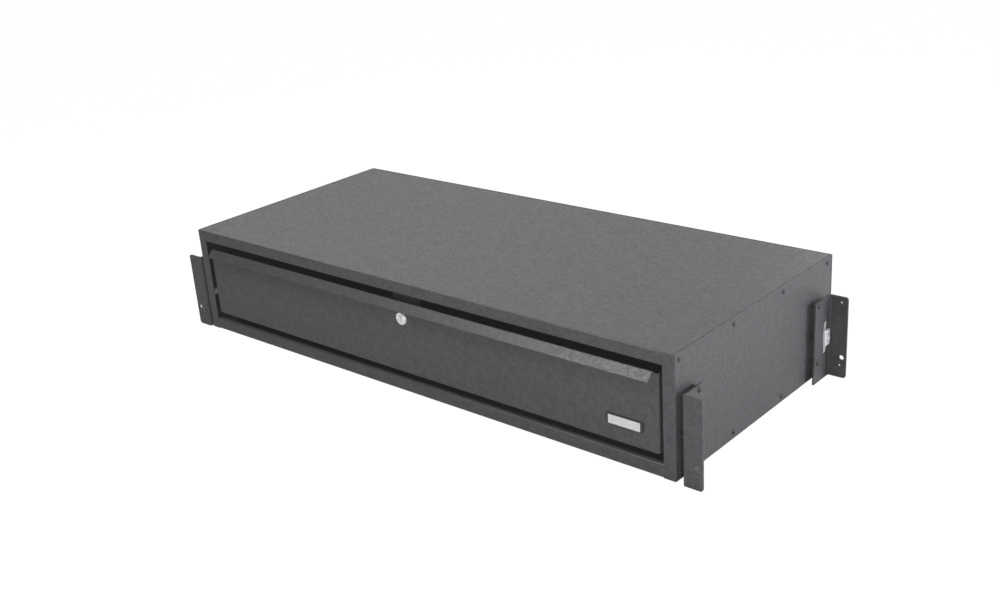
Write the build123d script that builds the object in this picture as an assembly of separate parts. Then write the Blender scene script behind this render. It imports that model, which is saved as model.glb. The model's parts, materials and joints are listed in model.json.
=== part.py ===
from build123d import *
import math
import os

# A wide lockable sheet-steel cash drawer unit that hangs in a rack or under a counter by four slotted
# corner brackets. All sizes are in millimetres. The pieces are modelled in the housing's own frame:
# X across from the centre line, Y back from the front face, Z up from the underside of the housing.
# save() then moves each one to the part's origin, at the bottom centre of the whole unit.

# ---- Housing -----------------------------------------------------------------------------------
housing_width = 1040.0
housing_depth = 452.0
housing_height = 193.0
sheet = 1.5
bend_radius = 1.0  # inside radius of every fold in the housing
stile_width = 20.0
top_rail_height = 20.0
bottom_rail_height = 21.0
rail_return = 8.0  # how far the free edge of each rail is folded back
side_flange_height = 20.0
fold_gap = 0.3  # between the edges of neighbouring panels

# ---- Fasteners ---------------------------------------------------------------------------------
screw_radius = 2.0
screw_head_radius = 3.8
screw_head_height = 2.2
screw_length = 8.0
pan_head_taper = 25.0  # degrees
hole_clearance = 0.15  # radial, round every screw
small_sides = 8  # flats on small shanks, holes and balls
head_sides = 12  # flats on small screw heads
side_screw_rows = 4
side_screw_front_inset = 11.5
side_screw_rear_inset = 16.5
side_screw_edge_inset = 10.0
rear_screw_columns = 5
rear_screw_end_inset = 40.0

# ---- Corner brackets ---------------------------------------------------------------------------
bracket_gap = 9.0  # between the side panel and the bracket's leg
bracket_sheet = 3.0
bracket_bend_radius = 2.0
bracket_corner = 4.5
bracket_leg = 51.0
bracket_flange = 33.0
bracket_height = 139.0
bracket_drop = 3.0  # how far the brackets reach below the housing
bracket_front_inset = 1.5
bracket_rear_inset = 24.0
mount_hole_radius = 4.0
mount_hole_height = 35.0
mount_hole_edge = 8.0
end_hole_radius = 1.75
end_hole_insets = (21.0, 10.0)  # from the flange's foot and from its top
end_hole_edge = 11.0
adjust_slot_width = 14.0
adjust_slot_length = 58.0
adjust_slot_height = 70.0
adjust_slot_inset = 15.0
clamp_plate_width = 17.0
clamp_plate_height = 26.0
clamp_plate_thickness = 3.0
spacer_bar_width = 17.0
spacer_bar_height = 76.0
spacer_bar_thickness = 1.5
bracket_bolt_radius = 4.0
bracket_bolt_flats = 13.0
bracket_bolt_head = 5.3
bracket_nut_height = 6.5
bracket_screw_inset = 41.0
bracket_screw_heights = (35.0, 132.0)
bracket_screw_radius = 2.5
bracket_screw_head_radius = 4.6
bracket_screw_head_height = 2.6
bracket_screw_nut_flats = 8.0
bracket_screw_nut_height = 4.0
sleeve_radius = 4.5
thread_end = 2.2  # how far a bolt or screw stands out of its nut

# ---- Telescopic slides -------------------------------------------------------------------------
slide_clear_of_stile = 1.5
slide_thickness = 12.7
slide_half_height = 22.75
slide_sheet = 1.0
slide_web_gap = 0.9  # between the webs of the outer and the middle member
slide_front_inset = 12.0
slide_rear_room = 40.0
slide_centre_height = 90.0
ball_radius = 1.65
ball_clearance = 0.2
balls_in_a_row = 6
ball_pitch = 22.0
ball_cap_height = 0.8  # as shares of the ball's radius
ball_cap_radius = 0.6
race_slope = 56.0  # degrees, of the middle member between its two ball races
race_gap = 0.4  # the straight stretch between them
race_lip = 0.3  # the straight end of a member, past its race
outer_shoulder_angle = 145.0  # where the outer member's race ends, round its ball
middle_tip_angle = 20.0
inner_tip_angle = 235.0
web_bend_radius = 1.5
cage_slope = 45.0
cage_lip = 0.9  # how far the inner cage reaches past its balls' centres, as a share of their radius
cage_sheet = 0.5
cage_length = 136.0
cage_start = 130.0  # from the slide's front end, with the drawer shut
slide_screw_columns = 3
slide_screw_end_inset = 60.0
slide_screw_head_radius = 3.4
slide_screw_length = 7.0

# ---- Slide mounts ------------------------------------------------------------------------------
slide_mount_web = 40.0
slide_mount_flange = 12.0
slide_mount_end_inset = 18.0  # inside the ends of the slide

# ---- Drawer ------------------------------------------------------------------------------------
face_inset = 2.0
face_side_gap = 7.5
face_bottom_gap = 12.0
face_top_gap = 12.4
face_sheet = 1.5
face_return_depth = 8.0
lip_reach = 12.5  # how far the pull lip stands ahead of the housing's front
lip_slope = 43.0  # degrees below level
lip_end_gap = 8.0
tray_sheet = 1.2
tray_bend_radius = 1.0
tray_floor_height = 36.0
tray_side_height = 104.0
tray_top_return = 10.0
tray_front_height = 60.0
tray_front_flange = 18.0
tray_rear_room = 16.0
back_flange = 14.0
stud_radius = 2.0
stud_length = 8.0
front_nut_flats = 7.0
front_nut_height = 3.2
front_stud_columns = 6
front_stud_end_inset = 30.0
upper_stud_drop = 16.0  # below the top of the tray

# ---- Rear bumpers ------------------------------------------------------------------------------
bumper_radius = 10.0
bumper_tip_radius = 8.0
bumper_spacing = 600.0
bumper_height = 80.0
bumper_gap = 0.5

# ---- Lock --------------------------------------------------------------------------------------
lock_below_face_top = 29.9
lock_head_radius = 10.8
lock_head_proud = 3.0
lock_head_chamfer = 1.0
lock_body_radius = 9.5
lock_body_length = 16.0
lock_hole_clearance = 0.1
lock_nut_flats = 24.0
lock_nut_height = 4.0
plug_radius = 6.0
plug_clearance = 0.05
plug_recess = 0.4
plug_tail = 0.6
keyway = (1.8, 8.0, 9.0)  # width, height, depth
cam_width = 16.0
cam_tip_radius = 5.3
cam_reach = 36.0
cam_thickness = 2.5
cam_screw_head_radius = 4.0
cam_screw_head_height = 2.4
cam_screw_radius = 2.0
cam_screw_length = 8.0
keeper_width = 60.0
keeper_clearance = 1.6  # between the keeper and the turned cam
keeper_above_lock = 19.3

# ---- Name plate --------------------------------------------------------------------------------
plate_edge_inset = 58.5  # from the face's right-hand edge to the plate's centre
plate_above_face_bottom = 35.0
bezel_size = (64.0, 17.0)
bezel_thickness = 2.0
bezel_corner = 2.0
name_plate_size = (55.0, 14.0)
name_plate_thickness = 1.2
name_plate_recess = 1.0

# ---- Sizes that follow -------------------------------------------------------------------------
half_width = housing_width / 2
outer_bend = bend_radius + sheet
opening_half_width = half_width - stile_width
panel_inside = half_width - sheet
rear_wall_front = housing_depth - sheet
slide_plane = opening_half_width - slide_clear_of_stile
tray_half_width = slide_plane - slide_thickness
slide_length = housing_depth - slide_front_inset - slide_rear_room
slide_rear = slide_front_inset + slide_length
face_half_width = opening_half_width - face_side_gap
face_bottom = bottom_rail_height + face_bottom_gap
face_top = housing_height - top_rail_height - face_top_gap
face_back = face_inset + face_sheet
lock_height = face_top - lock_below_face_top
plate_centre = (face_half_width - plate_edge_inset, face_bottom + plate_above_face_bottom)
name_plate_back = face_inset - bezel_thickness + name_plate_recess
tray_rear = housing_depth - tray_rear_room
leg_inside = half_width + bracket_gap
leg_outside = leg_inside + bracket_sheet
front_flange_plane = bracket_front_inset
rear_flange_plane = housing_depth - bracket_rear_inset
pocket_half_width = ball_radius + ball_clearance / 2
race_radius = ball_radius + ball_clearance
small_apothem = math.cos(math.pi / small_sides)  # of a small round, as a share of its radius

rearmost = housing_depth + screw_head_height
to_origin = Pos(0, (lip_reach - rearmost) / 2, bracket_drop)


# ---- Helpers -----------------------------------------------------------------------------------
def save(name, shape):
    """Writes one piece, moved from the housing's frame to the part's origin."""
    export_step(to_origin * shape, f"parts/{name}.step")


def along_x(section, start, end):
    """Extrudes a section drawn in Y and Z."""
    return Pos(start, 0, 0) * extrude(Plane.YZ * section, end - start)


def along_y(section, start, end):
    """Extrudes a section drawn in X and Z."""
    return Pos(0, start, 0) * extrude(Plane.XZ * section, end - start, dir=(0, 1, 0))


def along_z(section, start, end):
    """Extrudes a section drawn in X and Y."""
    return Pos(0, 0, start) * extrude(section, end - start)


def rounded_path(corners, radii):
    """Straight lines through the corners, joined by arcs of the given radii."""
    edges = []
    here = corners[0]
    for before, corner, after, radius in zip(corners, corners[1:], corners[2:], radii):
        if radius == 0:
            edges.append(Line(here, corner))
            here = corner
            continue
        arrive, leave = (corner - before).normalized(), (after - corner).normalized()
        half_turn = math.radians(arrive.get_angle(leave) / 2)
        reach = radius * math.tan(half_turn)
        crown = radius / math.cos(half_turn) - radius
        start, end = corner - arrive * reach, corner + leave * reach
        middle = corner + (leave - arrive).normalized() * crown
        edges += [Line(here, start), ThreePointArc(start, middle, end)]
        here = end
    return edges + [Line(here, corners[-1])]


def bent_sheet(points, thickness, radii):
    """The section of a bent sheet. The points run along one skin, the sheet lies on their left, and
    radii holds the inside radius of each bend, or one radius for all. A radius of 0 folds sharply."""
    near = [Vector(*point) for point in points]
    steps = [(b - a).normalized() for a, b in zip(near, near[1:])]
    lefts = [Vector(-step.Y, step.X) for step in steps]
    if not isinstance(radii, (list, tuple)):
        radii = [radii] * (len(near) - 2)
    far = [near[0] + lefts[0] * thickness]
    near_radii, far_radii = [], []
    for i, inside in enumerate(radii, start=1):
        mitre = (lefts[i - 1] + lefts[i]) / (1 + lefts[i - 1].dot(lefts[i]))
        far.append(near[i] + mitre * thickness)
        outside = inside + thickness if inside else 0
        turns_left = steps[i - 1].cross(steps[i]).Z > 0
        near_radii.append(outside if turns_left else inside)
        far_radii.append(inside if turns_left else outside)
    far.append(near[-1] + lefts[-1] * thickness)
    edges = [*rounded_path(near, near_radii), *rounded_path(far, far_radii)]
    edges += [Line(near[0], far[0]), Line(near[-1], far[-1])]
    return make_face(edges)


def mirror_x(shape):
    return mirror(shape, about=Plane.YZ)


def small_round(radius):
    """The outline of a small shank or hole, with a few flats so that the many fasteners stay light."""
    return RegularPolygon(radius, small_sides)


def hexagon(flats):
    return RegularPolygon(flats / 2, 6, major_radius=False)


def bar_x(outline, start, end, y, z):
    """A bar along X with the given outline, or the tool that cuts its hole."""
    return along_x(Pos(y, z) * outline, start, end)


def bar_y(outline, start, end, x, z):
    """A bar along Y with the given outline, or the tool that cuts its hole."""
    return along_y(Pos(x, z) * outline, start, end)


def spread(start, end, count):
    """Evenly spaced places from start to end."""
    return [start + (end - start) * i / (count - 1) for i in range(count)]


def both_sides(shape):
    return [shape, mirror_x(shape)]


# ---- Places of the repeated fasteners ----------------------------------------------------------
side_screw_ys = spread(side_screw_front_inset, housing_depth - side_screw_rear_inset, side_screw_rows)
side_screw_zs = (side_screw_edge_inset, housing_height - side_screw_edge_inset)
side_screw_places = [(y, z) for y in side_screw_ys for z in side_screw_zs]

rear_screw_end = half_width - rear_screw_end_inset
rear_screw_xs = spread(-rear_screw_end, rear_screw_end, rear_screw_columns)
rear_screw_places = [(x, z) for x in rear_screw_xs for z in side_screw_zs]

slide_screw_ys = spread(
    slide_front_inset + slide_screw_end_inset, slide_rear - slide_screw_end_inset, slide_screw_columns
)
stud_end = tray_half_width - front_stud_end_inset
stud_xs = spread(-stud_end, stud_end, front_stud_columns)
stud_height = tray_floor_height + tray_front_height / 2
upper_stud_height = tray_floor_height + tray_side_height - upper_stud_drop
upper_stud_x = tray_half_width - tray_front_flange / 2
stud_places = [(x, stud_height) for x in stud_xs]
stud_places += [(-upper_stud_x, upper_stud_height), (upper_stud_x, upper_stud_height)]

front_bracket_bolt_y = front_flange_plane + adjust_slot_inset
rear_bracket_bolt_y = rear_flange_plane - adjust_slot_inset
bracket_bolt_z = adjust_slot_height - bracket_drop
bracket_bolt_ys = (front_bracket_bolt_y, rear_bracket_bolt_y)
bracket_screw_ys = (front_flange_plane + bracket_screw_inset, rear_flange_plane - bracket_screw_inset)
bracket_screw_places = [
    (y, z - bracket_drop) for y in bracket_screw_ys for z in bracket_screw_heights
]

screw_hole = small_round(screw_radius + hole_clearance)
stud_hole = small_round(stud_radius + hole_clearance)
cam_screw_hole = small_round(cam_screw_radius + hole_clearance)
bracket_bolt_hole = small_round(bracket_bolt_radius + hole_clearance)
bracket_screw_hole = small_round(bracket_screw_radius + hole_clearance)


# ---- Housing panels ----------------------------------------------------------------------------
def horizontal_panel(rail_height):
    """The bottom panel: a plate with a rail folded up and back in front, and side and rear flanges."""
    inside = panel_inside
    trough = bent_sheet(
        [(-inside, side_flange_height), (-inside, 0), (inside, 0), (inside, side_flange_height)],
        sheet,
        bend_radius,
    )
    panel = along_y(trough, outer_bend, rear_wall_front - outer_bend)
    edge = opening_half_width - fold_gap
    rail = bent_sheet(
        [(rail_return, rail_height), (0, rail_height), (0, 0), (2 * outer_bend, 0)], sheet, bend_radius
    )
    panel += along_x(rail, -edge, edge)
    rear = rear_wall_front
    flange = bent_sheet(
        [(rear - 2 * outer_bend, 0), (rear, 0), (rear, side_flange_height)], sheet, bend_radius
    )
    panel += along_x(flange, -edge, edge)
    for x in rear_screw_xs:
        panel -= bar_y(screw_hole, rear - 2 * sheet, rear + sheet, x, side_screw_edge_inset)
    for y in side_screw_ys:
        hole = bar_x(screw_hole, inside - 2 * sheet, inside + sheet, y, side_screw_edge_inset)
        panel -= both_sides(hole)
    return panel


def upside_down(shape):
    """Turns a bottom panel into a top panel."""
    return mirror(shape, about=Plane.XY.offset(housing_height / 2))


def side_panel():
    """The right-hand side panel, with its front stile and rear return."""
    plan = bent_sheet(
        [
            (opening_half_width, 0),
            (half_width, 0),
            (half_width, rear_wall_front),
            (opening_half_width, rear_wall_front),
        ],
        sheet,
        bend_radius,
    )
    panel = along_z(plan, 0, housing_height)
    near, far = panel_inside - sheet, half_width + sheet
    for y, z in side_screw_places:
        panel -= bar_x(screw_hole, near, far, y, z)
    for y in bracket_bolt_ys:
        panel -= bar_x(bracket_bolt_hole, near, far, y, bracket_bolt_z)
    for y, z in bracket_screw_places:
        panel -= bar_x(bracket_screw_hole, near, far, y, z)
    return panel


def rear_panel():
    """The flat back, screwed over the rear flanges."""
    width = housing_width - 2 * fold_gap
    height = housing_height - 2 * fold_gap
    outline = Pos(0, housing_height / 2) * Rectangle(width, height)
    panel = along_y(outline, rear_wall_front, housing_depth)
    for x, z in rear_screw_places:
        panel -= bar_y(screw_hole, rear_wall_front - sheet, housing_depth + sheet, x, z)
    return panel


def pan_screw(radius, length, head_radius, head_height):
    """A pan-head screw standing on the XY plane, with its shank below."""
    head = extrude(RegularPolygon(head_radius, head_sides), head_height, taper=pan_head_taper)
    return head + extrude(small_round(radius), -length)


def facing_x(shape, x, y, z):
    """Places a screw with its head towards +X."""
    return Pos(x, y, z) * Rot(0, 90, 0) * shape


def facing_rear(shape, x, y, z):
    """Places a screw with its head towards +Y."""
    return Pos(x, y, z) * Rot(-90, 0, 0) * shape


# ---- Corner brackets ---------------------------------------------------------------------------
def upright_slot(width, length):
    return Rot(0, 0, 90) * SlotOverall(length, width)


def front_right_bracket():
    """An angle bracket: the leg runs back beside the housing, and the flange stands out from it."""
    plane = front_flange_plane
    flange_edge = leg_outside + bracket_flange - bracket_sheet
    plan = bent_sheet(
        [(leg_inside, plane + bracket_leg), (leg_inside, plane), (flange_edge, plane)],
        bracket_sheet,
        bracket_bend_radius,
    )
    bracket = along_z(plan, -bracket_drop, bracket_height - bracket_drop)
    before, behind = plane - bracket_sheet, plane + 2 * bracket_sheet
    mount_z = mount_hole_height - bracket_drop
    mount_hole = Circle(mount_hole_radius)
    bracket -= bar_y(mount_hole, before, behind, flange_edge - mount_hole_edge, mount_z)
    end_hole = Circle(end_hole_radius)
    for z in (end_hole_insets[0], bracket_height - end_hole_insets[1]):
        bracket -= bar_y(end_hole, before, behind, flange_edge - end_hole_edge, z - bracket_drop)
    near, far = leg_inside - bracket_sheet, leg_outside + bracket_sheet
    adjust_slot = upright_slot(adjust_slot_width, adjust_slot_length)
    bracket -= bar_x(adjust_slot, near, far, front_bracket_bolt_y, bracket_bolt_z)
    for height in bracket_screw_heights:
        bracket -= bar_x(bracket_screw_hole, near, far, bracket_screw_ys[0], height - bracket_drop)
    return fillet(bracket.edges().filter_by(Axis.Y).group_by(Axis.X)[-1], bracket_corner)


def to_rear(shape):
    """Turns a front bracket's piece into the rear bracket's."""
    middle = (front_flange_plane + rear_flange_plane) / 2
    return mirror(shape, about=Plane.XZ.offset(-middle))


def on_each_bracket(shape):
    """The same piece at all four brackets."""
    return [place for piece in (shape, to_rear(shape)) for place in both_sides(piece)]


def bracket_bolt():
    grip = clamp_plate_thickness + bracket_sheet + bracket_gap + sheet + bracket_nut_height
    bolt = bar_x(hexagon(bracket_bolt_flats), 0, bracket_bolt_head, 0, 0)
    bolt += bar_x(small_round(bracket_bolt_radius), -grip - thread_end, 0, 0, 0)
    return Pos(leg_outside + clamp_plate_thickness, front_bracket_bolt_y, bracket_bolt_z) * bolt


def drilled_plate(width, height, start, end):
    """A flat piece under a bracket bolt, drilled for it."""
    plate = Rectangle(width, height) - bracket_bolt_hole
    return bar_x(plate, start, end, front_bracket_bolt_y, bracket_bolt_z)


def drilled_nut(flats, hole, height, y, z):
    """A nut on the inside of the side panel."""
    return bar_x(hexagon(flats) - hole, panel_inside - height, panel_inside, y, z)


def bracket_screws():
    grip = bracket_sheet + bracket_gap + sheet + bracket_screw_nut_height
    head = (bracket_screw_head_radius, bracket_screw_head_height)
    screw = pan_screw(bracket_screw_radius, grip + thread_end, *head)
    return [facing_x(screw, leg_outside, y, z) for y, z in bracket_screw_places]


def bracket_sleeves():
    sleeve = small_round(sleeve_radius) - bracket_screw_hole
    return [bar_x(sleeve, half_width, leg_inside, y, z) for y, z in bracket_screw_places]


# ---- Telescopic slides -------------------------------------------------------------------------
# The slide's sections are drawn as u, the distance from the mount towards the drawer, and v, the
# height above the slide's centre. Each member is rolled round two rows of balls, above and below.
outer_race = Vector(4.3, slide_half_height - slide_sheet - race_radius)
race_normal = Vector(1, 0).rotate(Axis.Z, race_slope - 90)
race_tangent = Vector(1, 0).rotate(Axis.Z, race_slope)
inner_race = outer_race + race_normal * (2 * race_radius + slide_sheet) + race_tangent * race_gap
middle_web = slide_sheet + slide_web_gap


def round_ball(ball, angle, radius):
    """The point at an angle and radius round a ball's centre."""
    return ball + Vector(radius, 0).rotate(Axis.Z, angle)


def race_corner(ball, start, end, radius):
    """The corner whose fillet is an arc round a ball, from one angle to another."""
    half_turn = math.radians(abs(end - start) / 2)
    return round_ball(ball, (start + end) / 2, radius / math.cos(half_turn))


def on_line(point, angle, u=None, v=None):
    """Where a line through a point, at an angle, reaches the given u or v."""
    slope = math.tan(math.radians(angle))
    if u is not None:
        return Vector(u, point.Y + (u - point.X) * slope)
    return Vector(point.X + (v - point.Y) / slope, v)


def mirrored_path(upper):
    """A path that runs from the lower end to the upper end of a symmetrical section."""
    lower = [Vector(point.X, -point.Y) for point in reversed(upper)]
    return lower + upper


def outer_member_section():
    shoulder = outer_shoulder_angle
    corner = race_corner(outer_race, shoulder, 180 - shoulder, race_radius)
    tip = round_ball(outer_race, 180 - shoulder, race_radius)
    tip += Vector(race_lip, 0).rotate(Axis.Z, 90 - shoulder)
    web_top = on_line(corner, shoulder - 90, u=slide_sheet)
    path = mirrored_path([web_top, corner, tip])
    bends = [race_radius, web_bend_radius, web_bend_radius, race_radius]
    return bent_sheet(path, slide_sheet, bends)


def middle_member_section():
    web_face = middle_web + slide_sheet
    under_skin = race_radius + slide_sheet
    web_top = Vector(web_face, outer_race.Y - under_skin)
    first = race_corner(outer_race, -90, race_slope - 90, under_skin)
    second = race_corner(inner_race, race_slope + 90, middle_tip_angle, race_radius)
    tip = round_ball(inner_race, middle_tip_angle, race_radius)
    tip += Vector(race_lip, 0).rotate(Axis.Z, middle_tip_angle - 90)
    path = mirrored_path([web_top, first, second, tip])
    races = [race_radius, race_radius]
    return bent_sheet(path, slide_sheet, [*races, web_bend_radius, web_bend_radius, *races])


def inner_member_section():
    under_skin = race_radius + slide_sheet
    tip = round_ball(inner_race, inner_tip_angle, under_skin)
    tip -= Vector(race_lip, 0).rotate(Axis.Z, inner_tip_angle + 90)
    race = race_corner(inner_race, inner_tip_angle, 270, under_skin)
    web_top = Vector(slide_thickness - slide_sheet, inner_race.Y - under_skin)
    path = mirrored_path([web_top, race, tip])
    bends = [race_radius, web_bend_radius, web_bend_radius, race_radius]
    return bent_sheet(list(reversed(path)), slide_sheet, bends)


def outer_cage_section():
    skin = slide_sheet + (slide_web_gap - cage_sheet) / 2 + cage_sheet
    lip_under = outer_race.Y - cage_sheet / 2
    shoulder = round_ball(outer_race, outer_shoulder_angle, race_radius - skin + slide_sheet)
    slope = outer_shoulder_angle - 90
    path = mirrored_path(
        [
            on_line(shoulder, slope, u=skin),
            on_line(shoulder, slope, v=lip_under),
            Vector(outer_race.X + ball_radius, lip_under),
        ]
    )
    return bent_sheet(path, cage_sheet, 0)


def inner_cage_section():
    lip_under = inner_race.Y - cage_sheet / 2
    shoulder = Vector(inner_race.X - cage_lip * ball_radius, lip_under)
    skin = middle_web + 2 * slide_sheet + cage_sheet + slide_web_gap
    web_top = on_line(shoulder, cage_slope, u=skin)
    lip_end = Vector(inner_race.X + cage_lip * ball_radius, lip_under)
    return bent_sheet(mirrored_path([web_top, shoulder, lip_end]), cage_sheet, 0)


def right_slide(section, start, end):
    """Extrudes a slide section on the right-hand slide."""
    placed = mirror(section, about=Plane.YZ)
    return Pos(slide_plane, 0, slide_centre_height) * along_y(placed, start, end)


def ball_places(race):
    """The places of a cage's balls: x, y, z."""
    middle = slide_front_inset + cage_start + cage_length / 2
    half_row = ball_pitch * (balls_in_a_row - 1) / 2
    ys = spread(middle - half_row, middle + half_row, balls_in_a_row)
    heights = (slide_centre_height - race.Y, slide_centre_height + race.Y)
    return [(slide_plane - race.X, y, z) for y in ys for z in heights]


def ball_cage(section, race):
    start = slide_front_inset + cage_start
    cage = right_slide(section, start, start + cage_length)
    pocket = Box(2 * pocket_half_width, 2 * pocket_half_width, 4 * cage_sheet)
    for place in ball_places(race):
        cage -= Pos(*place) * pocket
    return cage


def taper_between(outer_radius, inner_radius, height):
    """The taper that takes a many-sided bar from one radius to another over a height."""
    return math.degrees(math.atan((outer_radius - inner_radius) * small_apothem / height))


def ball():
    """A ball drawn with flats: a belt with a tapered cap above and below."""
    cap_height, cap_radius = ball_cap_height * ball_radius, ball_cap_radius * ball_radius
    taper = taper_between(ball_radius, cap_radius, cap_height)
    cap = extrude(small_round(ball_radius), cap_height, taper=taper)
    return cap + mirror(cap, about=Plane.XY)


def slide_balls(race):
    return [Pos(*place) * ball() for place in ball_places(race)]


def countersunk_shape(head_radius, radius, length):
    """A tapered head as deep as a slide's sheet, with a shank below, that hangs from the XY plane."""
    taper = taper_between(head_radius, radius, slide_sheet)
    head = extrude(small_round(head_radius), -slide_sheet, taper=taper)
    return head + Pos(0, 0, -slide_sheet) * extrude(small_round(radius), slide_sheet - length)


def countersunk_screw(length):
    return countersunk_shape(slide_screw_head_radius, screw_radius, length)


def countersink():
    """The hole for a countersunk screw, through a slide's web and the sheet behind it."""
    head_radius = slide_screw_head_radius + hole_clearance
    return countersunk_shape(head_radius, screw_radius + hole_clearance, 4 * sheet)


outer_screw_face = slide_plane - slide_sheet
inner_screw_face = tray_half_width + slide_sheet
facing_drawer = Rot(0, -90, 0)
facing_mount = Rot(0, 90, 0)


def outer_screw_places():
    return [Pos(outer_screw_face, y, slide_centre_height) * facing_drawer for y in slide_screw_ys]


def inner_screw_places():
    return [Pos(inner_screw_face, y, slide_centre_height) * facing_mount for y in slide_screw_ys]


def slide_mount():
    """A top-hat section on the inside of the side panel that brings the slide in past the stile."""
    web_half = slide_mount_web / 2 - sheet
    flange_end = slide_mount_web / 2 + slide_mount_flange
    path = [
        (panel_inside, -flange_end),
        (panel_inside, -web_half),
        (slide_plane + sheet, -web_half),
        (slide_plane + sheet, web_half),
        (panel_inside, web_half),
        (panel_inside, flange_end),
    ]
    section = Pos(0, slide_centre_height) * bent_sheet(path, sheet, bend_radius)
    end_inset = slide_front_inset + slide_mount_end_inset
    mount = along_y(section, end_inset, slide_rear - slide_mount_end_inset)
    for place in outer_screw_places():
        mount -= place * countersink()
    return mount


def slide_outer():
    member = right_slide(outer_member_section(), slide_front_inset, slide_rear)
    for place in outer_screw_places():
        member -= place * countersink()
    return member


def slide_inner():
    member = right_slide(inner_member_section(), slide_front_inset, slide_rear)
    for place in inner_screw_places():
        member -= place * countersink()
    return member


# ---- Drawer ------------------------------------------------------------------------------------
def drawer_tray():
    """The floor and sides of the drawer, with a front upstand and flanges for the face."""
    width, floor, top = tray_half_width, tray_floor_height, tray_floor_height + tray_side_height
    outer = tray_bend_radius + tray_sheet
    trough = bent_sheet(
        [
            (-width + tray_top_return, top),
            (-width, top),
            (-width, floor),
            (width, floor),
            (width, top),
            (width - tray_top_return, top),
        ],
        tray_sheet,
        tray_bend_radius,
    )
    tray = along_y(trough, face_back + outer, tray_rear)
    upstand_top = floor + tray_front_height
    upstand = bent_sheet(
        [(face_back, upstand_top), (face_back, floor), (face_back + 2 * outer, floor)],
        tray_sheet,
        tray_bend_radius,
    )
    tray += along_x(upstand, outer - width, width - outer)
    plan = bent_sheet(
        [(width - tray_front_flange, face_back), (width, face_back), (width, face_back + 2 * outer)],
        tray_sheet,
        tray_bend_radius,
    )
    tray += both_sides(along_z(plan, upstand_top + outer, top - outer))
    for x, z in stud_places:
        tray -= bar_y(stud_hole, face_inset, face_back + 2 * tray_sheet, x, z)
    for place in inner_screw_places():
        tray -= both_sides(place * countersink())
    return tray


def drawer_back():
    """The back wall, folded forward at each end and welded inside the tray."""
    width = tray_half_width - tray_sheet
    front = tray_rear - back_flange
    plan = bent_sheet(
        [(width, front), (width, tray_rear), (-width, tray_rear), (-width, front)],
        tray_sheet,
        tray_bend_radius,
    )
    inset = tray_sheet + tray_bend_radius
    return along_z(plan, tray_floor_height + inset, tray_floor_height + tray_side_height - inset)


def drawer_front():
    """The face, with returns at its sides and foot and a pull lip bent forward along its top."""
    shoulder = face_top - outer_bend
    return_back = face_inset + face_return_depth
    profile = bent_sheet(
        [(face_inset, shoulder), (face_inset, face_bottom), (return_back, face_bottom)],
        face_sheet,
        bend_radius,
    )
    flat_half = face_half_width - outer_bend
    front = along_x(profile, -flat_half, flat_half)
    plan = bent_sheet(
        [
            (face_half_width - 2 * outer_bend, face_inset),
            (face_half_width, face_inset),
            (face_half_width, return_back),
        ],
        face_sheet,
        bend_radius,
    )
    front += both_sides(along_z(plan, face_bottom + outer_bend, shoulder))
    fold = math.radians((90 + lip_slope) / 2)
    corner = shoulder + outer_bend * math.tan(fold)
    lip_end = corner - (face_back + lip_reach) * math.tan(math.radians(lip_slope))
    lip = bent_sheet(
        [(face_back, shoulder - 2 * outer_bend), (face_back, corner), (-lip_reach, lip_end)],
        face_sheet,
        bend_radius,
    )
    lip_half = face_half_width - lip_end_gap
    front += along_x(lip, -lip_half, lip_half)
    lock_hole = Circle(lock_body_radius + lock_hole_clearance)
    front -= bar_y(lock_hole, face_inset - sheet, face_back + sheet, 0, lock_height)
    for x, z in stud_places:
        stud = small_round(stud_radius)
        front += bar_y(stud, face_inset + face_sheet / 2, face_back + stud_length, x, z)
    return front


def front_nuts():
    """The nuts that hold the face's studs behind the tray's flanges."""
    start = face_back + tray_sheet
    nut = hexagon(front_nut_flats) - stud_hole
    return [bar_y(nut, start, start + front_nut_height, x, z) for x, z in stud_places]


def rear_bumpers():
    length = rear_wall_front - tray_rear - bumper_gap
    bumper = Pos(0, 0, length / 2) * Cone(bumper_radius, bumper_tip_radius, length)
    xs = (-bumper_spacing / 2, bumper_spacing / 2)
    return [Pos(x, rear_wall_front, bumper_height) * Rot(90, 0, 0) * bumper for x in xs]


# ---- Lock --------------------------------------------------------------------------------------
lock_front = face_inset - lock_head_proud
lock_rear = face_inset + lock_body_length
plug_rear = lock_rear + plug_tail
cam_rear = plug_rear + cam_thickness


def lock_barrel():
    head = bar_y(Circle(lock_head_radius), lock_front, face_inset, 0, lock_height)
    head = chamfer(head.edges().group_by(Axis.Y)[0], lock_head_chamfer)
    barrel = head + bar_y(Circle(lock_body_radius), face_inset, lock_rear, 0, lock_height)
    bore = Circle(plug_radius + plug_clearance)
    return barrel - bar_y(bore, lock_front - 1, lock_rear + 1, 0, lock_height)


def lock_plug():
    start = lock_front + plug_recess
    plug = bar_y(Circle(plug_radius), start, plug_rear, 0, lock_height)
    width, height, depth = keyway
    plug -= Pos(0, start + depth / 2, lock_height) * Box(width, depth, height)
    hole_start = cam_rear - cam_screw_length - 1
    return plug - bar_y(cam_screw_hole, hole_start, plug_rear, 0, lock_height)


def lock_cam():
    """A flat finger that points to the left when the lock is open, and up when it is locked."""
    tip = Pos(cam_tip_radius - cam_reach, 0) * Circle(cam_tip_radius)
    outline = make_hull(Circle(cam_width / 2).edges() + tip.edges()) - cam_screw_hole
    return bar_y(outline, plug_rear, cam_rear, 0, lock_height)


def lock_nut():
    nut = hexagon(lock_nut_flats) - Circle(lock_body_radius + lock_hole_clearance)
    return bar_y(nut, face_back, face_back + lock_nut_height, 0, lock_height)


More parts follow.
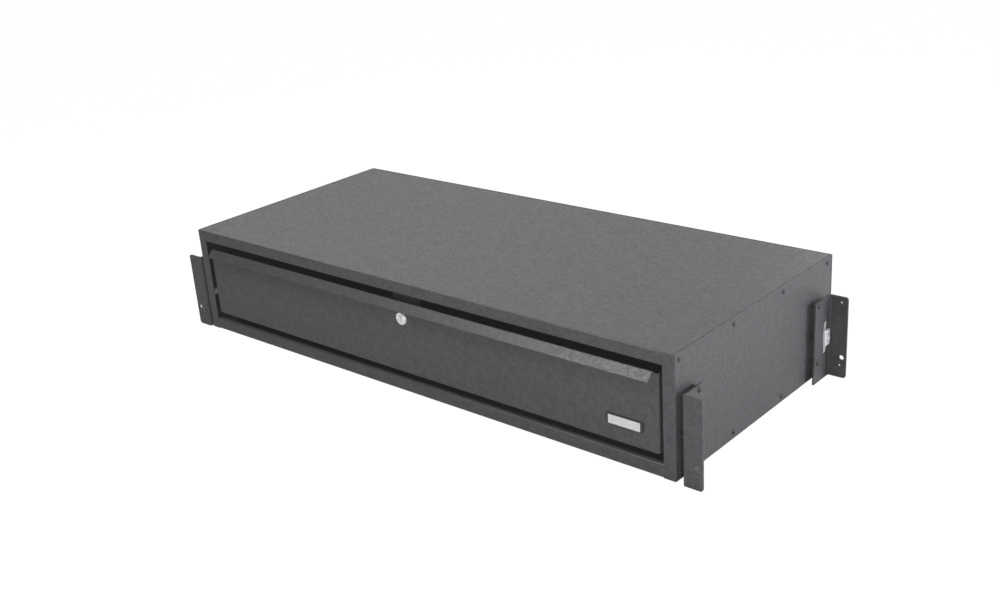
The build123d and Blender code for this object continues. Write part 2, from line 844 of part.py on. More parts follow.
def lock_keeper():
    """An angle under the top panel, which hangs in front of the turned cam."""
    rear = plug_rear - keeper_clearance
    ceiling = housing_height - sheet
    profile = bent_sheet(
        [(rear, lock_height + keeper_above_lock), (rear, ceiling), (outer_bend + fold_gap, ceiling)],
        sheet,
        bend_radius,
    )
    return along_x(profile, -keeper_width / 2, keeper_width / 2)


# ---- Name plate --------------------------------------------------------------------------------
def plate_bezel():
    bezel = RectangleRounded(*bezel_size, bezel_corner)
    solid = along_y(Pos(*plate_centre) * bezel, face_inset - bezel_thickness, face_inset)
    pocket = Pos(*plate_centre) * Rectangle(*name_plate_size)
    return solid - along_y(pocket, face_inset - bezel_thickness, name_plate_back)


def name_plate():
    blank = Pos(*plate_centre) * Rectangle(*name_plate_size)
    return along_y(blank, name_plate_back - name_plate_thickness, name_plate_back)


# ---- All the pieces ----------------------------------------------------------------------------
os.makedirs("parts", exist_ok=True)

pan = pan_screw(screw_radius, screw_length, screw_head_radius, screw_head_height)
side_screws = [facing_x(pan, half_width, y, z) for y, z in side_screw_places]
rear_screws = [facing_rear(pan, x, housing_depth, z) for x, z in rear_screw_places]

save("bottom_panel", horizontal_panel(bottom_rail_height))
save("top_panel", upside_down(horizontal_panel(top_rail_height)))
save("rear_panel", rear_panel())
save("side_screws", Compound([s for screw in side_screws for s in both_sides(screw)]))
save("rear_panel_screws", Compound(rear_screws))
save("rear_bumpers", Compound(rear_bumpers()))
save("lock_keeper", lock_keeper())

front_bracket = front_right_bracket()
save("front_right_bracket", front_bracket)
save("front_left_bracket", mirror_x(front_bracket))
save("rear_right_bracket", to_rear(front_bracket))
save("rear_left_bracket", mirror_x(to_rear(front_bracket)))
bar_start = leg_inside - spacer_bar_thickness
spacer_bar = drilled_plate(spacer_bar_width, spacer_bar_height, bar_start, leg_inside)
clamp_end = leg_outside + clamp_plate_thickness
clamp_plate = drilled_plate(clamp_plate_width, clamp_plate_height, leg_outside, clamp_end)
bolt_place = (front_bracket_bolt_y, bracket_bolt_z)
bolt_nut = drilled_nut(bracket_bolt_flats, bracket_bolt_hole, bracket_nut_height, *bolt_place)
screw_nuts = [
    drilled_nut(bracket_screw_nut_flats, bracket_screw_hole, bracket_screw_nut_height, y, z)
    for y, z in bracket_screw_places
]
save("bracket_spacer_bars", Compound(on_each_bracket(spacer_bar)))
save("bracket_clamp_plates", Compound(on_each_bracket(clamp_plate)))
save("bracket_bolts", Compound(on_each_bracket(bracket_bolt())))
save("bracket_bolt_nuts", Compound(on_each_bracket(bolt_nut)))
save("bracket_screws", Compound([s for screw in bracket_screws() for s in both_sides(screw)]))
save("bracket_sleeves", Compound([s for sleeve in bracket_sleeves() for s in both_sides(sleeve)]))
save("bracket_screw_nuts", Compound([s for nut in screw_nuts for s in both_sides(nut)]))

sided_pieces = {
    "side_panel": side_panel(),
    "slide_mount": slide_mount(),
    "slide_outer": slide_outer(),
    "slide_middle": right_slide(middle_member_section(), slide_front_inset, slide_rear),
    "slide_inner": slide_inner(),
    "outer_ball_cage": ball_cage(outer_cage_section(), outer_race),
    "inner_ball_cage": ball_cage(inner_cage_section(), inner_race),
    "outer_balls": Compound(slide_balls(outer_race)),
    "inner_balls": Compound(slide_balls(inner_race)),
}
for name, piece in sided_pieces.items():
    save(f"right_{name}", piece)
    save(f"left_{name}", mirror_x(piece))

mount_screw = countersunk_screw(slide_screw_length)
tray_screw = countersunk_screw(slide_sheet + 3 * tray_sheet)
mount_screws = [place * mount_screw for place in outer_screw_places()]
tray_screws = [place * tray_screw for place in inner_screw_places()]
save("slide_mount_screws", Compound([s for screw in mount_screws for s in both_sides(screw)]))
save("slide_tray_screws", Compound([s for screw in tray_screws for s in both_sides(screw)]))

save("drawer_tray", drawer_tray())
save("drawer_back", drawer_back())
save("drawer_front", drawer_front())
save("front_nuts", Compound(front_nuts()))
save("plate_bezel", plate_bezel())
save("name_plate", name_plate())

cam_screw = pan_screw(cam_screw_radius, cam_screw_length, cam_screw_head_radius, cam_screw_head_height)
save("lock_barrel", lock_barrel())
save("lock_nut", lock_nut())
save("lock_plug", lock_plug())
save("lock_cam", lock_cam())
save("cam_screw", facing_rear(cam_screw, 0, cam_rear, lock_height))
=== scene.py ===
# %% [markdown]
# # A lockable steel drawer unit
#
# This notebook dresses a finished CAD model for a picture. The model comes in as the *frame*: its
# sheets, slides and lock are already the right size and in the right place, so nothing here moves
# them. What follows gives every surface a finish, puts round, detailed hardware where the frame
# has plain stand-ins, and sets up a camera and a soft studio.

# %% Load the frame
import json
import math

import bmesh
import bpy
from mathutils import Matrix, Vector

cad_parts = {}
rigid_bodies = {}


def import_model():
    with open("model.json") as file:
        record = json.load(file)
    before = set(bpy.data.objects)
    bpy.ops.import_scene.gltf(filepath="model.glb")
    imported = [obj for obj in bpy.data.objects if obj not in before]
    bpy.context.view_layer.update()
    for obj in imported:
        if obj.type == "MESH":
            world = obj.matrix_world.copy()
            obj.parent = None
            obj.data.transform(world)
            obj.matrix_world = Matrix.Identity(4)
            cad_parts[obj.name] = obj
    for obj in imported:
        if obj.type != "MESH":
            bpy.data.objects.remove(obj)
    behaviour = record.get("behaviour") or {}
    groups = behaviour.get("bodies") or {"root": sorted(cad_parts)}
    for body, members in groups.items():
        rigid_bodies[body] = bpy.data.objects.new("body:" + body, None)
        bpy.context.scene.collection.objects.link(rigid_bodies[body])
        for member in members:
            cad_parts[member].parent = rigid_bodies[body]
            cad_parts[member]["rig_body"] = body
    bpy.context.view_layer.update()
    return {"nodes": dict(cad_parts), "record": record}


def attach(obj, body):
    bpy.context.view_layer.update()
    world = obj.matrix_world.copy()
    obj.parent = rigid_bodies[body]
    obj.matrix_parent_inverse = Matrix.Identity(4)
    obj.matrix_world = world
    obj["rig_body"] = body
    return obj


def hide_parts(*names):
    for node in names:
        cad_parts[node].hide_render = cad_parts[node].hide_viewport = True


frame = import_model()
nodes = frame["nodes"]
record = frame["record"]
MM = 0.001

# %% [markdown]
# ## Shader helpers
#
# Every finish below is one Principled shader, with noise patterns that drive its colour, its
# roughness and a small bump. The patterns read Object coordinates: they are true sizes in metres,
# so a grain of 0.6 mm stays 0.6 mm on a bracket and on the big top panel alike.

# %% A new material with its shader
def finish(name, color, roughness, metallic=0.0, specular=0.5):
    """A material with a Principled shader, and the node tree to build on."""
    material = bpy.data.materials.new(name)
    material.use_nodes = True
    shader = material.node_tree.nodes["Principled BSDF"]
    shader.inputs["Base Color"].default_value = (*color, 1)
    shader.inputs["Roughness"].default_value = roughness
    shader.inputs["Metallic"].default_value = metallic
    shader.inputs["Specular IOR Level"].default_value = specular
    material.diffuse_color = (*color, 1)
    return material, shader


# %% A noise pattern of a real size
def noise(material, grain, stretch=(1, 1, 1), detail=2.0, distortion=0.0):
    """Noise whose blobs are about `grain` metres across, drawn out along an axis by `stretch`."""
    tree = material.node_tree
    place = tree.nodes.new("ShaderNodeTexCoord")
    mapping = tree.nodes.new("ShaderNodeMapping")
    mapping.inputs["Scale"].default_value = [1 / s for s in stretch]
    pattern = tree.nodes.new("ShaderNodeTexNoise")
    pattern.inputs["Scale"].default_value = 1 / grain
    pattern.inputs["Detail"].default_value = detail
    pattern.inputs["Distortion"].default_value = distortion
    tree.links.new(place.outputs["Object"], mapping.inputs["Vector"])
    tree.links.new(mapping.outputs["Vector"], pattern.inputs["Vector"])
    return pattern.outputs["Fac"]


# %% Drive a number or a colour with a pattern
def ramp(material, pattern, low, high, start=0.3, end=0.7):
    """Maps a pattern's middle range onto values from low to high."""
    node = material.node_tree.nodes.new("ShaderNodeMapRange")
    node.inputs["From Min"].default_value, node.inputs["From Max"].default_value = start, end
    node.inputs["To Min"].default_value, node.inputs["To Max"].default_value = low, high
    material.node_tree.links.new(pattern, node.inputs["Value"])
    return node.outputs["Result"]


def mottle(material, pattern, dark, light, start=0.3, end=0.7):
    """A colour that wanders between two tones with a pattern."""
    node = material.node_tree.nodes.new("ShaderNodeMix")
    node.data_type = "RGBA"
    first, second = [socket for socket in node.inputs if socket.type == "RGBA"]
    first.default_value, second.default_value = (*dark, 1), (*light, 1)
    share = ramp(material, pattern, 0, 1, start, end)
    material.node_tree.links.new(share, node.inputs["Factor"])
    return next(socket for socket in node.outputs if socket.type == "RGBA")


# %% Turn patterns into a bump
def bump(material, shader, pattern, height, strength=1.0):
    """Raises the surface by up to `height` metres, on top of any bump already there."""
    tree = material.node_tree
    node = tree.nodes.new("ShaderNodeBump")
    node.inputs["Distance"].default_value = height
    node.inputs["Strength"].default_value = strength
    tree.links.new(pattern, node.inputs["Height"])
    earlier = shader.inputs["Normal"].links
    if earlier:
        tree.links.new(earlier[0].from_socket, node.inputs["Normal"])
    tree.links.new(node.outputs["Normal"], shader.inputs["Normal"])


def soften_edges(material, shader, radius):
    """Shades sharp edges as if they were rounded. It must come before the first bump."""
    rounding = material.node_tree.nodes.new("ShaderNodeBevel")
    rounding.samples = 4
    rounding.inputs["Radius"].default_value = radius
    material.node_tree.links.new(rounding.outputs["Normal"], shader.inputs["Normal"])


def link(material, output, shader, name):
    material.node_tree.links.new(output, shader.inputs[name])


# %% [markdown]
# ## The black powder coat
#
# The sheets are sprayed with dry powder and baked. The powder flows into a satin film with a fine
# orange-peel grain, and its thickness wanders from spot to spot. A flat black would look like
# plastic: three scales of noise give the grain (bump), the leathery skin (bump and roughness) and
# the pebbled tone (colour). Folded and cut edges are shaded as if they were slightly rounded,
# because powder draws back from a sharp edge and leaves a soft highlight there.

# %% Black powder coat
def powder_coat():
    coat, shader = finish("black_powder_coat", (0.045, 0.046, 0.048), 0.46)
    pebbles = noise(coat, 0.008, detail=3.0)
    leather = noise(coat, 0.0042, detail=3.0)
    grain = noise(coat, 0.0009, detail=1.0)
    tone = mottle(coat, pebbles, (0.034, 0.035, 0.039), (0.056, 0.057, 0.062))
    link(coat, tone, shader, "Base Color")
    link(coat, ramp(coat, leather, 0.38, 0.54), shader, "Roughness")
    soften_edges(coat, shader, 0.5 * MM)
    bump(coat, shader, leather, 0.12 * MM)
    bump(coat, shader, grain, 0.05 * MM)
    return coat


# %% [markdown]
# ## Bare and plated metals
#
# The slides and the bracket hardware aren't painted. Bright zinc is silvery with a patchy, rather
# milky sheen, so it isn't a full mirror. Rolled slide members carry fine lines along their length.
# The fasteners through the black panels are blackened, so only a soft glint gives them away.

# %% Zinc plate
def zinc_plate():
    zinc, shader = finish("zinc_plate", (0.78, 0.79, 0.80), 0.4, metallic=0.45)
    patches = noise(zinc, 0.006, detail=2.0, distortion=0.6)
    grain = noise(zinc, 0.0007)
    link(zinc, mottle(zinc, patches, (0.68, 0.69, 0.71), (0.86, 0.87, 0.88)), shader, "Base Color")
    link(zinc, ramp(zinc, patches, 0.34, 0.52), shader, "Roughness")
    bump(zinc, shader, grain, 0.02 * MM)
    return zinc


# %% Slide steel, rolled along its length
def slide_zinc():
    steel, shader = finish("slide_zinc", (0.62, 0.64, 0.67), 0.33, metallic=1.0)
    lines = noise(steel, 0.0008, stretch=(1, 60, 1), detail=2.0)
    patches = noise(steel, 0.02)
    link(steel, mottle(steel, patches, (0.52, 0.54, 0.57), (0.68, 0.70, 0.72)), shader, "Base Color")
    link(steel, ramp(steel, lines, 0.24, 0.44), shader, "Roughness")
    bump(steel, shader, lines, 0.015 * MM)
    return steel


# %% Blackened screws
def black_oxide():
    black, shader = finish("black_oxide", (0.035, 0.036, 0.04), 0.32, metallic=0.6)
    patches = noise(black, 0.0015)
    link(black, mottle(black, patches, (0.028, 0.029, 0.032), (0.06, 0.06, 0.065)), shader, "Base Color")
    link(black, ramp(black, patches, 0.26, 0.44), shader, "Roughness")
    bump(black, shader, noise(black, 0.0005), 0.012 * MM)
    return black


# %% Nickel for the lock
def lock_nickel():
    nickel, shader = finish("lock_nickel", (0.86, 0.85, 0.84), 0.3, metallic=0.6)
    haze = noise(nickel, 0.0025)
    link(nickel, mottle(nickel, haze, (0.82, 0.81, 0.80), (0.92, 0.91, 0.90)), shader, "Base Color")
    link(nickel, ramp(nickel, haze, 0.24, 0.4), shader, "Roughness")
    bump(nickel, shader, noise(nickel, 0.0004), 0.006 * MM)
    return nickel


# %% Ball and cage steel
def ball_steel():
    steel, shader = finish("ball_steel", (0.78, 0.79, 0.8), 0.08, metallic=1.0)
    film = noise(steel, 0.0015)
    link(steel, ramp(steel, film, 0.06, 0.16), shader, "Roughness")
    link(steel, mottle(steel, film, (0.72, 0.73, 0.74), (0.82, 0.83, 0.84)), shader, "Base Color")
    return steel


def cage_steel():
    steel, shader = finish("cage_steel", (0.5, 0.49, 0.46), 0.38, metallic=1.0)
    patches = noise(steel, 0.004)
    link(steel, mottle(steel, patches, (0.42, 0.41, 0.38), (0.56, 0.55, 0.51)), shader, "Base Color")
    link(steel, ramp(steel, patches, 0.3, 0.48), shader, "Roughness")
    bump(steel, shader, noise(steel, 0.0006), 0.012 * MM)
    return steel


# %% Rubber, the plate's aluminium and its plastic bezel
def black_rubber():
    rubber, shader = finish("black_rubber", (0.022, 0.022, 0.022), 0.8)
    dust = noise(rubber, 0.004, detail=3.0)
    link(rubber, mottle(rubber, dust, (0.016, 0.016, 0.016), (0.034, 0.033, 0.032)), shader, "Base Color")
    link(rubber, ramp(rubber, dust, 0.7, 0.9), shader, "Roughness")
    bump(rubber, shader, noise(rubber, 0.0008), 0.03 * MM)
    return rubber


def plate_aluminium():
    plate, shader = finish("plate_aluminium", (0.86, 0.87, 0.88), 0.34, metallic=0.85)
    brushing = noise(plate, 0.00035, stretch=(40, 1, 1), detail=2.0)
    link(plate, mottle(plate, brushing, (0.60, 0.61, 0.62), (0.86, 0.86, 0.87)), shader, "Base Color")
    link(plate, ramp(plate, brushing, 0.3, 0.46), shader, "Roughness")
    bump(plate, shader, brushing, 0.01 * MM)
    return plate


def bezel_plastic():
    plastic, shader = finish("bezel_plastic", (0.018, 0.018, 0.019), 0.36)
    grain = noise(plastic, 0.0007)
    link(plastic, ramp(plastic, grain, 0.3, 0.46), shader, "Roughness")
    tone = mottle(plastic, grain, (0.015, 0.015, 0.016), (0.024, 0.024, 0.025))
    link(plastic, tone, shader, "Base Color")
    bump(plastic, shader, grain, 0.02 * MM)
    return plastic


# %% Paint every CAD node from the record's slots
makers = [powder_coat, zinc_plate, slide_zinc, black_oxide, lock_nickel, ball_steel, cage_steel,
          black_rubber, plate_aluminium, bezel_plastic]
slot_of = {name: node.data.materials[0].name for name, node in nodes.items()}
for plain in list(bpy.data.materials):
    bpy.data.materials.remove(plain)
finishes = {}
for maker in makers:
    material = maker()
    finishes[material.name] = material
for name, node in nodes.items():
    node.data.materials.clear()
    node.data.materials.append(finishes[slot_of[name]])
print("finishes:", sorted(finishes))

# %% [markdown]
# ## Where the hardware goes
#
# The frame holds each screw, nut and ball as a small many-sided stand-in. Its loose parts tell
# where the real ones belong: each part's bounding box gives a place, and the side of the unit
# that it is on tells which way the head faces.

# %% Find the separate parts of a node
def parts_of(node_name):
    """The box of each loose part of a CAD node, as (low corner, high corner)."""
    mesh = bmesh.new()
    mesh.from_mesh(nodes[node_name].data)
    bmesh.ops.remove_doubles(mesh, verts=mesh.verts, dist=0.001 * MM)
    left = set(mesh.verts)
    boxes = []
    while left:
        front, part = [left.pop()], []
        while front:
            vert = front.pop()
            part.append(vert.co.copy())
            for edge in vert.link_edges:
                other = edge.other_vert(vert)
                if other in left:
                    left.remove(other)
                    front.append(other)
        low = Vector(map(min, *part))
        high = Vector(map(max, *part))
        boxes.append((low, high))
    mesh.free()
    return sorted(boxes, key=lambda box: tuple(round(v, 4) for v in box[0]))


def outward(center):
    return Vector((math.copysign(1, center.x), 0, 0))


def inward(center):
    return -outward(center)


def rearward(center):
    return Vector((0, 1, 0))


def tips_of(node_name, facing):
    """Where each part's face lies in the direction that it faces, and that direction."""
    tips = []
    for low, high in parts_of(node_name):
        center, half = (low + high) / 2, (high - low) / 2
        way = facing(center)
        tips.append((center + way * abs(half.dot(way)), way))
    return tips


for name in ("side_screws", "rear_panel_screws", "bracket_bolts", "right_outer_balls"):
    print(name, len(parts_of(name)))

# %% [markdown]
# ## Turned and cut pieces
#
# A screw head, a ball or a lock face is round about an axis, so it is turned: an outline of radius
# and height goes round in steps. The faces run the same way round every time, so they point
# outwards without any repair. A recess or a hexagon is then cut with a boolean.

# %% Turn an outline
def turned(name, outline, steps=32):
    """A closed solid round Z. `outline` lists (radius, z) from the top of the axis to the bottom. An
    outline that ends where it began makes a ring with a bore."""
    mesh = bmesh.new()
    rings = []
    for radius, z in outline:
        if radius == 0:
            rings.append([mesh.verts.new((0, 0, z))])
            continue
        turn = [2 * math.pi * i / steps for i in range(steps)]
        rings.append([mesh.verts.new((radius * math.cos(a), radius * math.sin(a), z)) for a in turn])
    for upper, lower in zip(rings, rings[1:]):
        for i in range(steps):
            j = (i + 1) % steps
            ring = [upper[i % len(upper)], lower[i % len(lower)]]
            ring += [lower[j % len(lower)], upper[j % len(upper)]]
            mesh.faces.new(list(dict.fromkeys(ring)))
    bmesh.ops.remove_doubles(mesh, verts=mesh.verts, dist=0.0001 * MM)
    data = bpy.data.meshes.new(name)
    mesh.to_mesh(data)
    mesh.free()
    piece = bpy.data.objects.new(name, data)
    bpy.context.scene.collection.objects.link(piece)
    return piece


# %% A straight bar with a many-sided outline
def prism(name, points, low, high, draw=1.0):
    """A bar along Z from low to high. `draw` narrows its lower end."""
    mesh = bmesh.new()
    top = [mesh.verts.new((x, y, high)) for x, y in points]
    bottom = [mesh.verts.new((x * draw, y * draw, low)) for x, y in points]
    mesh.faces.new(top)
    mesh.faces.new(list(reversed(bottom)))
    count = len(points)
    for i in range(count):
        j = (i + 1) % count
        mesh.faces.new([top[i], bottom[i], bottom[j], top[j]])
    bmesh.ops.recalc_face_normals(mesh, faces=mesh.faces)
    data = bpy.data.meshes.new(name)
    mesh.to_mesh(data)
    mesh.free()
    piece = bpy.data.objects.new(name, data)
    bpy.context.scene.collection.objects.link(piece)
    return piece


# %% Cut, keep the overlap, or join
def combine(piece, tool, operation):
    """Applies a boolean with the tool, and removes the tool."""
    cut = piece.modifiers.new("cut", "BOOLEAN")
    cut.operation, cut.object, cut.solver = operation, tool, "EXACT"
    bpy.context.view_layer.update()
    made = bpy.data.meshes.new_from_object(piece.evaluated_get(bpy.context.evaluated_depsgraph_get()))
    piece.modifiers.clear()
    piece.data = made
    bpy.data.objects.remove(tool)
    return piece


def smooth(piece, angle=35):
    """Smooth shading, with edges sharper than the angle kept crisp."""
    for face in piece.data.polygons:
        face.use_smooth = True
    piece.data.set_sharp_from_angle(angle=math.radians(angle))
    return piece


# %% [markdown]
# ## The screws, nuts and balls themselves
#
# A pan-head screw has a domed head with a cross recess, so that the light breaks up on it. Its
# head is a quarter of an ellipse in section. Bolts and nuts are hexagons whose corners are turned
# off in a lathe, and the slide's flat-head screws sit flush with the steel.

# %% A cross recess
def cross_recess(reach, width, depth, top):
    """Two crossed blades that taper inwards, to cut into a screw head."""
    a, b = reach, width / 2
    plus = [(a, -b), (a, b), (b, b), (b, a), (-b, a), (-b, b),
            (-a, b), (-a, -b), (-b, -b), (-b, -a), (b, -a), (b, -b)]
    return prism("recess", plus, top - depth, top + depth, draw=0.35)


# %% A pan-head screw
def pan_screw(name, head_radius, head_height, shank_radius, length):
    """Its highest point is at z = 0 and its shank runs down."""
    dome = []
    for i in range(7):
        turn = math.radians(15 * i)
        dome.append((head_radius * math.sin(turn) ** 0.7, -head_height * (1 - math.cos(turn) ** 0.8)))
    tip = -head_height - length
    outline = [*dome, (shank_radius, -head_height), (shank_radius, tip + shank_radius / 3),
               (shank_radius * 0.7, tip), (0, tip)]
    screw = turned(name, outline, steps=28)
    recess = cross_recess(head_radius * 0.56, head_radius * 0.2, head_height * 0.55, 0)
    return smooth(combine(screw, recess, "DIFFERENCE"))


# %% A hexagon with turned-off corners
def hexagon(name, flats, height, bore=0.0, both_ends=False):
    """A bolt head or nut from z = 0 down. Its corners are cut at 30 degrees, as in a lathe."""
    corner = flats / math.sqrt(3)
    points = [(corner * math.cos(math.radians(60 * i)), corner * math.sin(math.radians(60 * i)))
              for i in range(6)]
    rise = (corner - flats / 2) * math.tan(math.radians(30))
    body = prism(name, points, -height, 0)
    clear, flat = corner * 1.01, flats * 0.48
    foot = [(clear, -height + rise), (flat, -height)] if both_ends else [(clear, -height)]
    envelope = turned("envelope", [(0, 0), (flat, 0), (clear, -rise), *foot, (0, -height)], 36)
    body = combine(body, envelope, "INTERSECT")
    if bore:
        hole = turned("hole", [(0, height), (bore, height), (bore, -2 * height), (0, -2 * height)], 24)
        body = combine(body, hole, "DIFFERENCE")
    return body


# %% A threaded bolt
def threaded(radius, top, tip, pitch):
    """A turned shank whose outline zigzags like a thread."""
    outline, z = [(0, top), (radius, top)], top
    while z - pitch > tip + pitch:
        outline += [(radius, z - 0.4 * pitch), (radius - 0.5 * pitch, z - 0.9 * pitch)]
        z -= pitch
    return outline + [(radius * 0.75, tip), (0, tip)]


def hex_bolt(name, flats, head_height, radius, length, pitch):
    head = hexagon(name, flats, head_height)
    shank = turned("shank", threaded(radius, -head_height * 0.5, -head_height - length, pitch), 24)
    return smooth(combine(head, shank, "UNION"), 30)


# %% A flat-head screw for the slides
def flat_screw(name, head_radius, head_height, shank_radius, length):
    rim = head_height * 0.12
    outline = [(0, 0), (head_radius, 0), (head_radius, -rim), (shank_radius, -head_height),
               (shank_radius, -length), (0, -length)]
    screw = turned(name, outline, steps=28)
    recess = cross_recess(head_radius * 0.6, head_radius * 0.2, head_height * 0.7, 0)
    return smooth(combine(screw, recess, "DIFFERENCE"))


# %% [markdown]
# ## Setting hardware with Geometry Nodes
#
# One small node tree sets every kind of hardware. It takes a mesh whose points are the places and
# whose `facing` attribute says where each head looks, puts a copy of the master piece on each
# point, turns it to face that way, and spins it about its own axis by a random angle, because no
# two screws stop at the same turn. The seed is fixed, so every run gives the same picture.

# %% Build the tree
def setting_tree():
    tree = bpy.data.node_groups.new("set_hardware", "GeometryNodeTree")
    sockets = tree.interface
    sockets.new_socket("Places", in_out="INPUT", socket_type="NodeSocketGeometry")
    sockets.new_socket("Master", in_out="INPUT", socket_type="NodeSocketObject")
    sockets.new_socket("Finish", in_out="INPUT", socket_type="NodeSocketMaterial")
    sockets.new_socket("Most turn", in_out="INPUT", socket_type="NodeSocketFloat")
    sockets.new_socket("Seed", in_out="INPUT", socket_type="NodeSocketInt")
    sockets.new_socket("Geometry", in_out="OUTPUT", socket_type="NodeSocketGeometry")
    node = lambda kind: tree.nodes.new(kind)
    given, made = node("NodeGroupInput"), node("NodeGroupOutput")
    facing = node("GeometryNodeInputNamedAttribute")
    facing.data_type = "FLOAT_VECTOR"
    facing.inputs["Name"].default_value = "facing"
    align = node("FunctionNodeAlignRotationToVector")
    align.axis = "Z"
    chance = node("FunctionNodeRandomValue")
    chance.data_type = "FLOAT"
    spin = node("FunctionNodeAxisAngleToRotation")
    spin.inputs["Axis"].default_value = (0, 0, 1)
    turn = node("FunctionNodeRotateRotation")
    turn.rotation_space = "LOCAL"
    master = node("GeometryNodeObjectInfo")
    copies = node("GeometryNodeInstanceOnPoints")
    real = node("GeometryNodeRealizeInstances")
    paint = node("GeometryNodeSetMaterial")
    join = tree.links.new
    floats = [s for s in chance.inputs if s.type == "VALUE"]
    join(given.outputs["Most turn"], floats[1])
    join(given.outputs["Seed"], chance.inputs["Seed"])
    join([s for s in chance.outputs if s.type == "VALUE"][0], spin.inputs["Angle"])
    join([s for s in facing.outputs if s.type == "VECTOR"][0], align.inputs["Vector"])
    join(align.outputs["Rotation"], turn.inputs["Rotation"])
    join(spin.outputs["Rotation"], turn.inputs["Rotate By"])
    join(given.outputs["Master"], master.inputs["Object"])
    join(given.outputs["Places"], copies.inputs["Points"])
    join(master.outputs["Geometry"], copies.inputs["Instance"])
    join(turn.outputs["Rotation"], copies.inputs["Rotation"])
    join(copies.outputs["Instances"], real.inputs["Geometry"])
    join(real.outputs["Geometry"], paint.inputs["Geometry"])
    join(given.outputs["Finish"], paint.inputs["Material"])
    join(paint.outputs["Geometry"], made.inputs["Geometry"])
    return tree


hardware_tree = setting_tree()
print("inputs:", [item.name for item in hardware_tree.interface.items_tree if item.in_out == "INPUT"])

# %% Set one kind of hardware and bake it to a plain mesh
def set_hardware(name, master, tips, slot, body, most_turn=6.28, seed=1):
    """Copies the master to every tip. The result rides on the body and takes the slot's finish."""
    places = bpy.data.meshes.new(name + "_places")
    places.from_pydata([tip for tip, way in tips], [], [])
    facing = places.attributes.new("facing", "FLOAT_VECTOR", "POINT")
    facing.data.foreach_set("vector", [value for tip, way in tips for value in way])
    piece = bpy.data.objects.new(name, places)
    bpy.context.scene.collection.objects.link(piece)
    setter = piece.modifiers.new("set", "NODES")
    setter.node_group = hardware_tree
    values = {"Master": master, "Finish": finishes[slot], "Most turn": most_turn, "Seed": seed}
    for item in hardware_tree.interface.items_tree:
        if item.in_out == "INPUT" and item.name in values:
            setter[item.identifier] = values[item.name]
    bpy.context.view_layer.update()
    made = bpy.data.meshes.new_from_object(piece.evaluated_get(bpy.context.evaluated_depsgraph_get()))
    piece.modifiers.clear()
    piece.data = made
    bpy.data.objects.remove(master)
    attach(piece, body)
    print(name, len(tips), "copies,", len(made.polygons), "faces")
    return piece


# %% Put real hardware in a stand-in's place
body_of_node = {name: node["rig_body"] for name, node in nodes.items()}


def replace_hardware(node_name, master, facing, most_turn=6.28, seed=1):
    """Sets real hardware where the frame has stand-ins, which are then hidden."""
    slot = slot_of[node_name]
    body = body_of_node[node_name]
    piece = set_hardware(node_name + "_detailed", master, tips_of(node_name, facing), slot, body,
                         most_turn, seed)
    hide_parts(node_name)
    return piece


# %% Screws of the housing
head = dict(head_radius=3.8 * MM, head_height=2.2 * MM, shank_radius=2 * MM, length=8 * MM)
replace_hardware("side_screws", pan_screw("side_screw", **head), outward, seed=3)
replace_hardware("rear_panel_screws", pan_screw("rear_screw", **head), rearward, seed=7)

# %% Bracket bolts and screws
bolt_low, bolt_high = parts_of("bracket_bolts")[0]
bolt_head = 5.3 * MM
bolt_length = bolt_high.x - bolt_low.x - bolt_head
bolt = hex_bolt("bracket_bolt", flats=13 * MM, head_height=bolt_head, radius=4 * MM, length=bolt_length,
                pitch=1.25 * MM)
replace_hardware("bracket_bolts", bolt, outward, seed=5)
screw_low, screw_high = parts_of("bracket_screws")[0]
screw_head = 2.6 * MM
screw = pan_screw("bracket_screw", head_radius=4.6 * MM, head_height=screw_head, shank_radius=2.5 * MM,
                  length=screw_high.x - screw_low.x - screw_head)
replace_hardware("bracket_screws", screw, outward, seed=11)

# %% Their nuts, inside the walls
bolt_nut = hexagon("bolt_nut", flats=13 * MM, height=6.5 * MM, bore=4.12 * MM, both_ends=True)
replace_hardware("bracket_bolt_nuts", smooth(bolt_nut, 30), inward, seed=2)
screw_nut = hexagon("screw_nut", flats=8 * MM, height=4 * MM, bore=2.6 * MM, both_ends=True)
replace_hardware("bracket_screw_nuts", smooth(screw_nut, 30), inward, seed=4)

# %% A spacer tube round each bracket bolt, from the wall to the strip behind the leg
wall_sheet, tube_length = 1.5 * MM, 7.5 * MM
tube_bore, tube_rim, tube_radius, tube_chamfer = 4.2 * MM, 6.6 * MM, 7 * MM, 0.4 * MM
tube_outline = [(tube_bore, 0), (tube_rim, 0), (tube_radius, -tube_chamfer),
                (tube_radius, tube_chamfer - tube_length), (tube_rim, -tube_length),
                (tube_bore, -tube_length), (tube_bore, 0)]
for number, (tip, way) in enumerate(tips_of("bracket_bolt_nuts", outward), start=1):
    tube = turned(f"bolt_tube_{number}", tube_outline, 32)
    top = tip + way * (wall_sheet + tube_length)
    tube.data.transform(Matrix.Translation(top) @ way.to_track_quat("Z", "Y").to_matrix().to_4x4())
    tube.data.materials.append(finishes["black_oxide"])
    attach(smooth(tube, 30), body_of_node["bracket_bolts"])

# %% Slide screws, front nuts and the cam screw
flat = dict(head_radius=3.4 * MM, head_height=1.0 * MM, shank_radius=2 * MM)
replace_hardware("slide_mount_screws", flat_screw("mount_screw", length=7 * MM, **flat), inward, seed=6)
replace_hardware("slide_tray_screws", flat_screw("tray_screw", length=4.6 * MM, **flat), outward, seed=8)
front_nut = hexagon("front_nut", flats=7 * MM, height=3.2 * MM, bore=2.1 * MM, both_ends=True)
replace_hardware("front_nuts", smooth(front_nut, 30), rearward, seed=9)
cam_head = dict(head_radius=4 * MM, head_height=2.4 * MM, shank_radius=2 * MM, length=8 * MM)
replace_hardware("cam_screw", pan_screw("cam_screw_master", **cam_head), rearward, seed=10)

